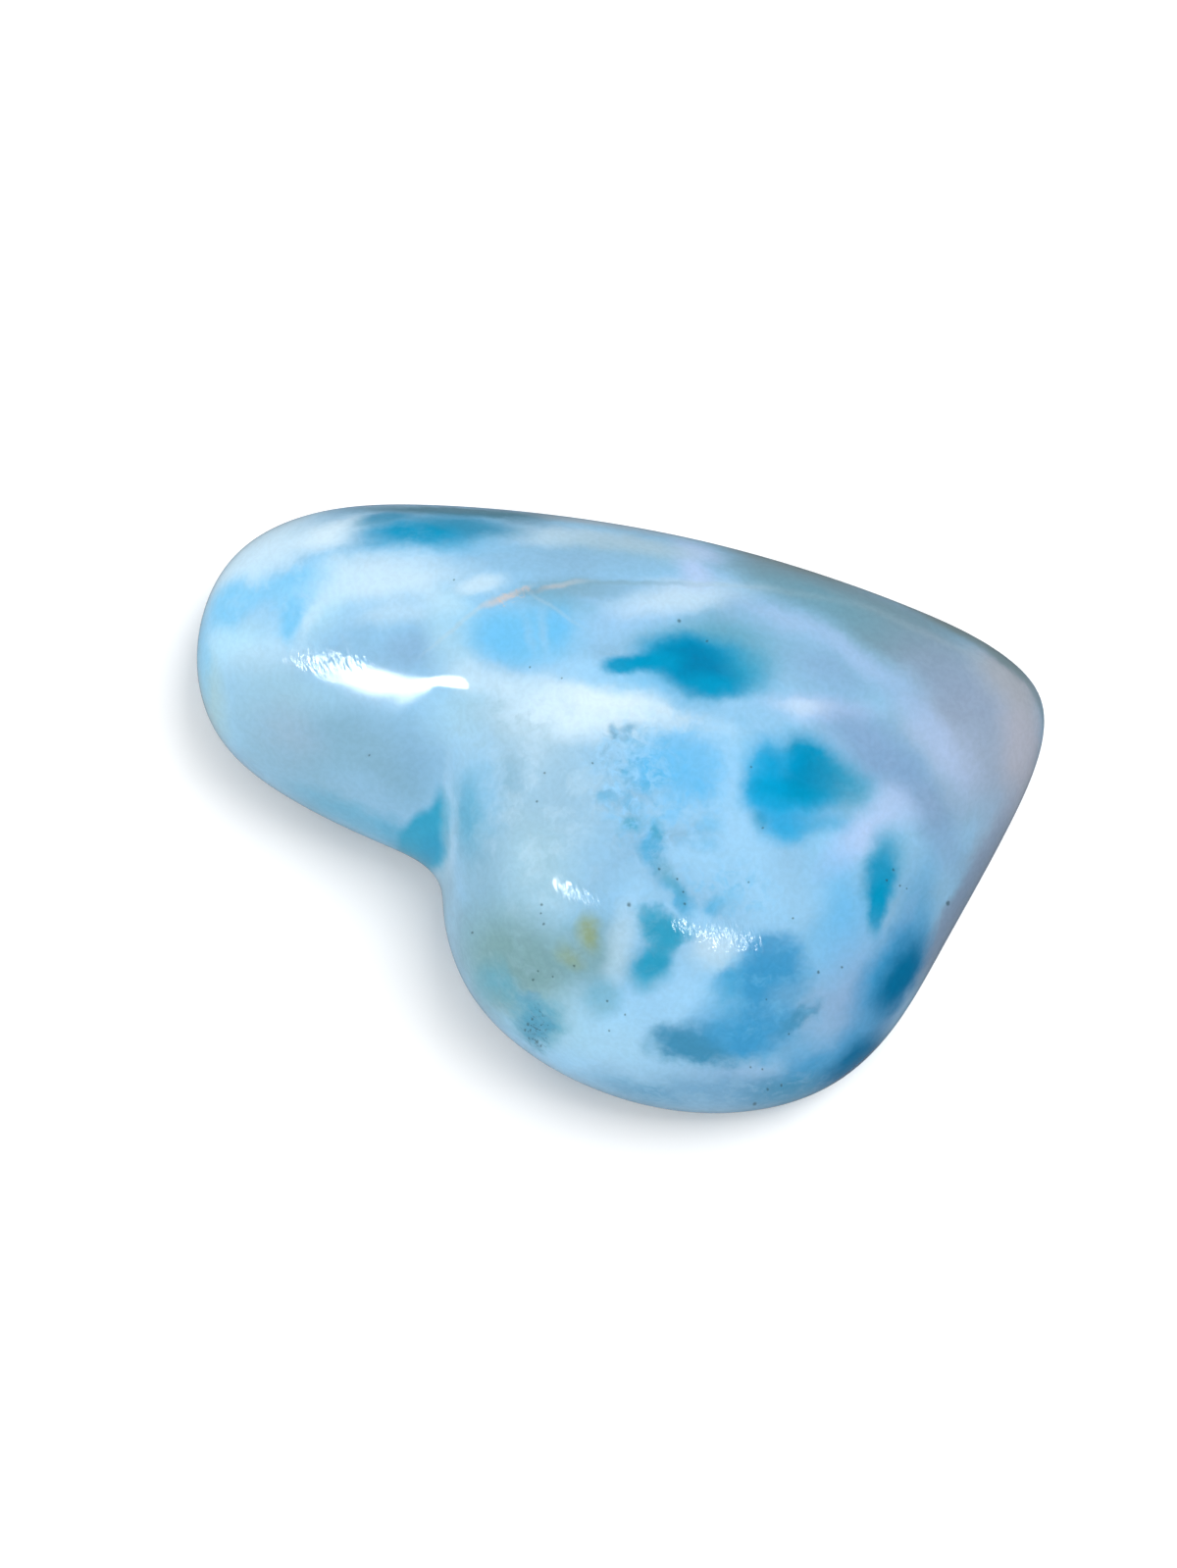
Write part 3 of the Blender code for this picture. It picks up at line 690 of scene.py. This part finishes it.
def dome_rings(rim):
    """Rings over the girdle, from the lowest to the one next to the top, with fewer points near the top."""
    rings = []
    for number, shares in enumerate(ring_shares(rim).T, start=1):
        skip = 1 + (number >= HALVED_FROM_RING) + 2 * (number >= QUARTERED_FROM_RING)
        places = DOME_MIDDLE + shares[::skip, None] * (rim[::skip] - DOME_MIDDLE)
        rings.append(np.column_stack([places, GIRDLE_HEIGHT + dome_height(places, rim)]))
    return rings


def back_rings(rim):
    """Rings under the girdle, from the flat back up."""
    rings = []
    for ring in range(BACK_RINGS, 0, -1):
        turn = BACK_SWEEP * ring / BACK_RINGS
        inset = BACK_INSET * (1 - np.cos(turn)) / (1 - np.cos(BACK_SWEEP))
        height = GIRDLE_HEIGHT * (1 - np.sin(turn) / np.sin(BACK_SWEEP))
        places = rim - inset * outward_normals(rim)
        rings.append(np.column_stack([places, np.full(len(rim), height)]))
    return rings


def add_band(mesh, lower, upper):
    """Faces between two rings of equal count, or from a ring up to one with half as many points."""
    for i in range(len(upper)):
        j = (i + 1) % len(upper)
        if len(lower) == len(upper):
            mesh.faces.new((lower[i], lower[j], upper[j], upper[i]))
            continue
        first, middle, last = lower[2 * i], lower[2 * i + 1], lower[2 * j]
        mesh.faces.new((first, middle, upper[i]))
        mesh.faces.new((middle, upper[j], upper[i]))
        mesh.faces.new((middle, last, upper[j]))


def build_skin():
    rim = outline_points(POINTS_ROUND)
    girdle = np.column_stack([rim, np.full(len(rim), GIRDLE_HEIGHT)])
    rings = back_rings(rim) + [girdle] + dome_rings(rim)
    top = np.append(DOME_MIDDLE, GIRDLE_HEIGHT + dome_height(DOME_MIDDLE[None], rim)[0])
    box_middle = np.append((rim.min(axis=0) + rim.max(axis=0)) / 2, 0)

    mesh = bmesh.new()
    loops = [[mesh.verts.new((place - box_middle) * SKIN_FIT * MM) for place in ring] for ring in rings]
    summit = mesh.verts.new((top - box_middle) * SKIN_FIT * MM)
    for lower, upper in zip(loops[:-1], loops[1:]):
        add_band(mesh, lower, upper)
    for i, corner in enumerate(loops[-1]):
        mesh.faces.new((corner, loops[-1][(i + 1) % len(loops[-1])], summit))
    for face in mesh.faces:
        face.smooth = True
    mesh.faces.new(reversed(loops[0]))
    mesh.normal_update()

    data = bpy.data.meshes.new("stone_skin")
    mesh.to_mesh(data)
    mesh.free()
    skin = bpy.data.objects.new("stone_skin", data)
    bpy.context.scene.collection.objects.link(skin)
    return skin


def build_camera():
    data = bpy.data.cameras.new("camera")
    data.lens = LENS
    data.sensor_width = SENSOR
    data.sensor_fit = "AUTO"
    data.clip_start = 0.005
    data.clip_end = 10
    camera = bpy.data.objects.new("camera", data)
    camera.location = CAMERA_PLACE * MM
    camera.rotation_euler = Vector(TO_CAMERA).to_track_quat("Z", "Y").to_euler()
    bpy.context.scene.collection.objects.link(camera)
    bpy.context.scene.camera = camera


def build_floor():
    mesh = bmesh.new()
    bmesh.ops.create_grid(mesh, x_segments=1, y_segments=1, size=1.0)
    data = bpy.data.meshes.new("floor")
    mesh.to_mesh(data)
    mesh.free()
    floor = bpy.data.objects.new("floor", data)
    floor.location.z = -FLOOR_GAP * MM
    bpy.context.scene.collection.objects.link(floor)
    material = bpy.data.materials.new("pale_floor")
    material.use_nodes = True
    shader = material.node_tree.nodes["Principled BSDF"]
    shader.inputs["Base Color"].default_value = (*FLOOR_COLOUR, 1)
    shader.inputs["Roughness"].default_value = 0.8
    shader.inputs["Specular IOR Level"].default_value = 0.0
    data.materials.append(material)
    floor.visible_glossy = False
    return floor


def lit_only(light, *objects):
    """Limits a light to the given objects, as flags and snoots do in a studio."""
    group = bpy.data.collections.new(light.name + "_lights")
    for lit in objects:
        group.objects.link(lit)
    light.light_linking.receiver_collection = group


def panel_light(name, middle, size, roll, radiance, shape="ELLIPSE"):
    """A soft panel that faces the stone, its long side level before the roll. In millimetres and degrees."""
    data = bpy.data.lights.new(name, "AREA")
    data.shape = shape
    data.size = size[0] * MM
    data.size_y = size[1] * MM
    data.energy = radiance * math.pi * data.size * data.size_y * (math.pi / 4 if shape == "ELLIPSE" else 1)
    light = bpy.data.objects.new(name, data)
    away = Vector(middle).normalized()
    level = Vector((1, 0, 0)) - away * away.x
    level.normalize()
    upright = away.cross(level)
    turn = Matrix((level, upright, away)).transposed().to_4x4() @ Matrix.Rotation(math.radians(roll), 4, "Z")
    light.matrix_world = Matrix.Translation(Vector(middle) * MM) @ turn
    bpy.context.scene.collection.objects.link(light)
    return light


class Graph:
    """Adds shader nodes to a material and joins them."""

    def __init__(self, material):
        material.use_nodes = True
        self.tree = material.node_tree
        self.shader = self.tree.nodes["Principled BSDF"]

    def feed(self, socket, value):
        if isinstance(value, bpy.types.NodeSocket):
            self.tree.links.new(value, socket)
        else:
            socket.default_value = value

    def add(self, kind, settings=None, **inputs):
        made = self.tree.nodes.new("ShaderNode" + kind)
        for name, value in (settings or {}).items():
            setattr(made, name, value)
        for name, value in inputs.items():
            self.feed(made.inputs[name.replace("_", " ")], value)
        return made

    def math(self, operation, *values):
        made = self.add("Math", {"operation": operation})
        for socket, value in zip(made.inputs, values):
            self.feed(socket, value)
        return made.outputs[0]

    def vector(self, operation, *values):
        made = self.add("VectorMath", {"operation": operation})
        for socket, value in zip(made.inputs, values):
            self.feed(socket, value)
        return made.outputs["Value" if operation in ("LENGTH", "DOT_PRODUCT") else "Vector"]

    def ramp(self, value, start, end, low=0.0, high=1.0):
        """Eases from low to high as the value goes from start to end."""
        made = self.add(
            "MapRange", {"interpolation_type": "SMOOTHSTEP"},
            Value=value, From_Min=start, From_Max=end, To_Min=low, To_Max=high,
        )
        return made.outputs["Result"]

    def mix(self, share, first, second):
        """A colour between two colours."""
        made = self.add("Mix", {"data_type": "RGBA"})
        self.feed(made.inputs[0], share)
        for socket, colour in zip(made.inputs[6:8], (first, second)):
            self.feed(socket, colour if isinstance(colour, bpy.types.NodeSocket) else (*colour, 1))
        return made.outputs[2]

    def noise(self, place, size, detail=2.0, roughness=0.5):
        return self.add("TexNoise", Vector=place, Scale=1 / size, Detail=detail, Roughness=roughness)


def wandering_places(graph, place):
    """The place pushed about by noise, once for each kind of edge."""
    pushes = []
    for size in WANDER_SIZES:
        push = graph.noise(place, size, 3.0).outputs["Color"]
        pushes.append(graph.vector("SUBTRACT", push, (0.5, 0.5, 0.5)))
    places = {}
    for name, reaches in EDGES.items():
        moved = place
        for push, reach in zip(pushes, reaches):
            moved = graph.vector("MULTIPLY_ADD", push, (reach,) * 3, moved)
        places[name] = moved
    return places


class Face:
    """The polished face, and the way to it from a pixel of the photograph."""

    def __init__(self):
        self.rim = outline_points(POINTS_ROUND)
        self.box_middle = (self.rim.min(axis=0) + self.rim.max(axis=0)) / 2

    def height(self, xy):
        """Height of the face over a place; past the outline it is the girdle's."""
        places = (xy + self.box_middle)[None]
        if depth_inside(places, self.rim)[0] <= 0:
            return GIRDLE_HEIGHT
        return GIRDLE_HEIGHT + dome_height(places, self.rim)[0]

    def seen_at(self, pixel):
        """The place on the face that the photograph shows at a pixel, and the pixels per millimetre there."""
        right, down = np.array(pixel) - PICTURE_SIZE / 2
        sight = right * PICTURE_RIGHT - down * PICTURE_UP - FOCAL_PIXELS * TO_CAMERA
        height = DOME_HEIGHT
        for _ in range(SIGHT_STEPS):
            place = CAMERA_PLACE + (height - CAMERA_PLACE[2]) / sight[2] * sight
            height += SIGHT_PACE * (self.height(place[:2]) - height)
        return place, FOCAL_PIXELS / ((CAMERA_PLACE - place) @ TO_CAMERA)


def mark(graph, places, face, pixel, radii, turn, softness, strength, depth=MARK_DEPTH):
    """How strongly a soft ellipsoid over a pixel of the photograph colours the stone."""
    centre, pixels_per_mm = face.seen_at(pixel)
    reach = (1 + softness) / pixels_per_mm
    length, width = radii
    ball = graph.add("TexGradient", {"gradient_type": "SPHERICAL"}, Vector=places)
    ball.texture_mapping.vector_type = "TEXTURE"
    ball.texture_mapping.translation = centre
    ball.texture_mapping.rotation = (0, 0, math.radians(turn))
    ball.texture_mapping.scale = (reach * length, reach * width, reach * length + (1 + softness) * depth)
    return graph.ramp(ball.outputs["Fac"], 0.0, 2 * softness / (1 + softness), 0.0, strength)


def marked(graph, colour, places, face, marks):
    """The colour with marks laid over it, one after another."""
    for name, strength, pixel, radii, turn, softness, edge in marks:
        share = mark(graph, places[edge], face, pixel, radii, turn, softness, strength)
        colour = graph.mix(share, colour, COLOURS[name])
    return colour


def underside_colour(graph, place):
    """Pale veins round blue cells, each cell with its own depth of blue."""
    cells = graph.add("TexVoronoi", Vector=place, Scale=1 / BACK_CELL_SIZE)
    edge = graph.add("TexVoronoi", {"feature": "DISTANCE_TO_EDGE"}, Vector=place, Scale=1 / BACK_CELL_SIZE)
    deep = graph.add("SeparateXYZ", Vector=cells.outputs["Color"]).outputs["X"]
    blue = graph.mix(graph.ramp(deep, 0.2, 0.8), COLOURS["grey_blue"], COLOURS["teal"])
    blue = graph.mix(graph.ramp(edge.outputs["Distance"], 0.0, 2 * VEIN_WIDTH), COLOURS["sky"], blue)
    return graph.mix(graph.ramp(edge.outputs["Distance"], 0.0, VEIN_WIDTH), COLOURS["milk"], blue)


def stone_material():
    material = bpy.data.materials.new("larimar")
    graph = Graph(material)
    face = Face()
    place = graph.add("TexCoord").outputs["Object"]
    place = graph.vector("SCALE", place)
    place.node.inputs["Scale"].default_value = 1 / MM
    broad_edges = wandering_places(graph, place)

    cloud = graph.noise(broad_edges["soft"], CLOUD_SIZE, 4.0).outputs["Fac"]
    colour = graph.mix(graph.ramp(cloud, *CLOUD_SPAN), COLOURS["pale"], COLOURS["grey_blue"])
    colour = marked(graph, colour, broad_edges, face, ZONES + CELLS_AND_RIM_SHADE)

    edges = wandering_places(graph, graph.vector("MULTIPLY_ADD", colour, (UNDER_PUSH,) * 3, place))
    colour = marked(graph, colour, edges, face, LOWER_CELLS)
    for name, strength, pixel, radii, turn, softness, size, span in FRAYS:
        share = mark(graph, edges["soft"], face, pixel, radii, turn, softness, strength)
        wisp = graph.ramp(graph.noise(edges["wispy"], size, 5.0, 0.6).outputs["Fac"], *span)
        colour = graph.mix(graph.math("MULTIPLY", share, wisp), colour, COLOURS[name])
    colour = marked(graph, colour, edges, face, VEINS_AND_GROOVE_GLINT)
    for pixel, radius in SPECKS:
        share = mark(
            graph, edges["fleck"], face, pixel, (radius, radius), 0, SPECK_SOFTNESS, SPECK_STRENGTH, SPECK_DEPTH
        )
        colour = graph.mix(share, colour, COLOURS["dark"])

    height = graph.add("SeparateXYZ", Vector=place).outputs["Z"]
    colour = graph.mix(graph.ramp(height, *UNDERSIDE_SPAN), underside_colour(graph, broad_edges["wispy"]), colour)
    mottle = graph.ramp(graph.noise(edges["soft"], MOTTLE_SIZE, 4.0).outputs["Fac"], 0.3, 0.7, *MOTTLE)
    colour = graph.vector("SCALE", colour)
    graph.feed(colour.node.inputs["Scale"], mottle)

    shader = graph.shader
    graph.feed(shader.inputs["Base Color"], colour)
    gloss = graph.ramp(graph.noise(place, GLOSS_SIZE, 3.0).outputs["Fac"], 0.35, 0.7, *POLISH)
    streaks = graph.add("Mapping", {"vector_type": "TEXTURE"}, Vector=broad_edges["crisp"], Scale=STREAK_SIZE,
                        Rotation=(0, 0, math.radians(STREAK_TURN))).outputs[0]
    streak = graph.ramp(graph.noise(streaks, 1.0, 3.0).outputs["Fac"], 0.3, 0.7)
    worn = 0.0
    for pixel, radii, turn, strength in SCUFFS:
        share = mark(graph, broad_edges["crisp"], face, pixel, radii, turn, SCUFF_SOFTNESS, strength)
        worn = graph.math("MAXIMUM", share, worn)
    worn = graph.math("MULTIPLY", worn, streak)
    gloss = graph.math("MULTIPLY_ADD", worn, SCUFF_ROUGHNESS, gloss)
    gloss = graph.math("MAXIMUM", gloss, graph.ramp(height, *BACK_SPAN, BACK_ROUGHNESS, 0.0))
    graph.feed(shader.inputs["Roughness"], gloss)
    wave = graph.noise(place, WAVE_SIZE, 2.0).outputs["Fac"]
    grain = graph.noise(place, GRAIN_SIZE, 3.0).outputs["Fac"]
    relief = graph.math("MULTIPLY", wave, WAVE_HEIGHT)
    relief = graph.math("MULTIPLY_ADD", grain, GRAIN_HEIGHT, relief)
    relief = graph.math("MULTIPLY_ADD", worn, SCUFF_DEPTH, relief)
    bump = graph.add("Bump", Height=relief, Distance=MM)
    graph.feed(shader.inputs["Normal"], bump.outputs["Normal"])
    shader.inputs["Subsurface Weight"].default_value = SUBSURFACE
    shader.inputs["Subsurface Radius"].default_value = SUBSURFACE_RADIUS
    shader.inputs["Subsurface Scale"].default_value = SUBSURFACE_DEPTH * MM
    return material


def build_world():
    """A soft room: brighter towards the windows, and dim in the mirror of the polish."""
    world = bpy.data.worlds.new("studio")
    bpy.context.scene.world = world
    world.use_nodes = True
    nodes, links = world.node_tree.nodes, world.node_tree.links
    background = nodes["Background"]
    background.inputs["Color"].default_value = (*ROOM_COLOUR, 1)
    way = nodes.new("ShaderNodeTexCoord").outputs["Generated"]
    path = nodes.new("ShaderNodeLightPath")
    strength = nodes.new("ShaderNodeMix")
    links.new(path.outputs["Is Glossy Ray"], strength.inputs["Factor"])
    for socket, side, start, levels in (
        ("A", ROOM_BRIGHT_SIDE, -1, ROOM_LIGHT),
        ("B", MIRROR_BRIGHT_SIDE, MIRROR_START, ROOM_MIRROR),
    ):
        facing = nodes.new("ShaderNodeVectorMath")
        facing.operation = "DOT_PRODUCT"
        facing.inputs[1].default_value = Vector(side).normalized()
        links.new(way, facing.inputs[0])
        fade = nodes.new("ShaderNodeMapRange")
        fade.interpolation_type = "SMOOTHSTEP"
        fade.inputs["From Min"].default_value = start
        fade.inputs["To Min"].default_value = levels[0]
        fade.inputs["To Max"].default_value = levels[1]
        links.new(facing.outputs["Value"], fade.inputs["Value"])
        links.new(fade.outputs["Result"], strength.inputs[socket])
    links.new(strength.outputs["Result"], background.inputs["Strength"])


def build_light(skin, floor):
    build_world()
    for window in WINDOWS:
        lit_only(panel_light(*window), skin)
    lit_only(panel_light("floor_key", FLOOR_KEY_PLACE, FLOOR_KEY_SIZE, 0, FLOOR_KEY_RADIANCE, "RECTANGLE"), floor)


skin = build_skin()
skin.data.materials.append(stone_material())
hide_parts(NODE)
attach(skin, "root")
floor = build_floor()
build_camera()
build_light(skin, floor)
bpy.context.scene.view_settings.view_transform = "Standard"
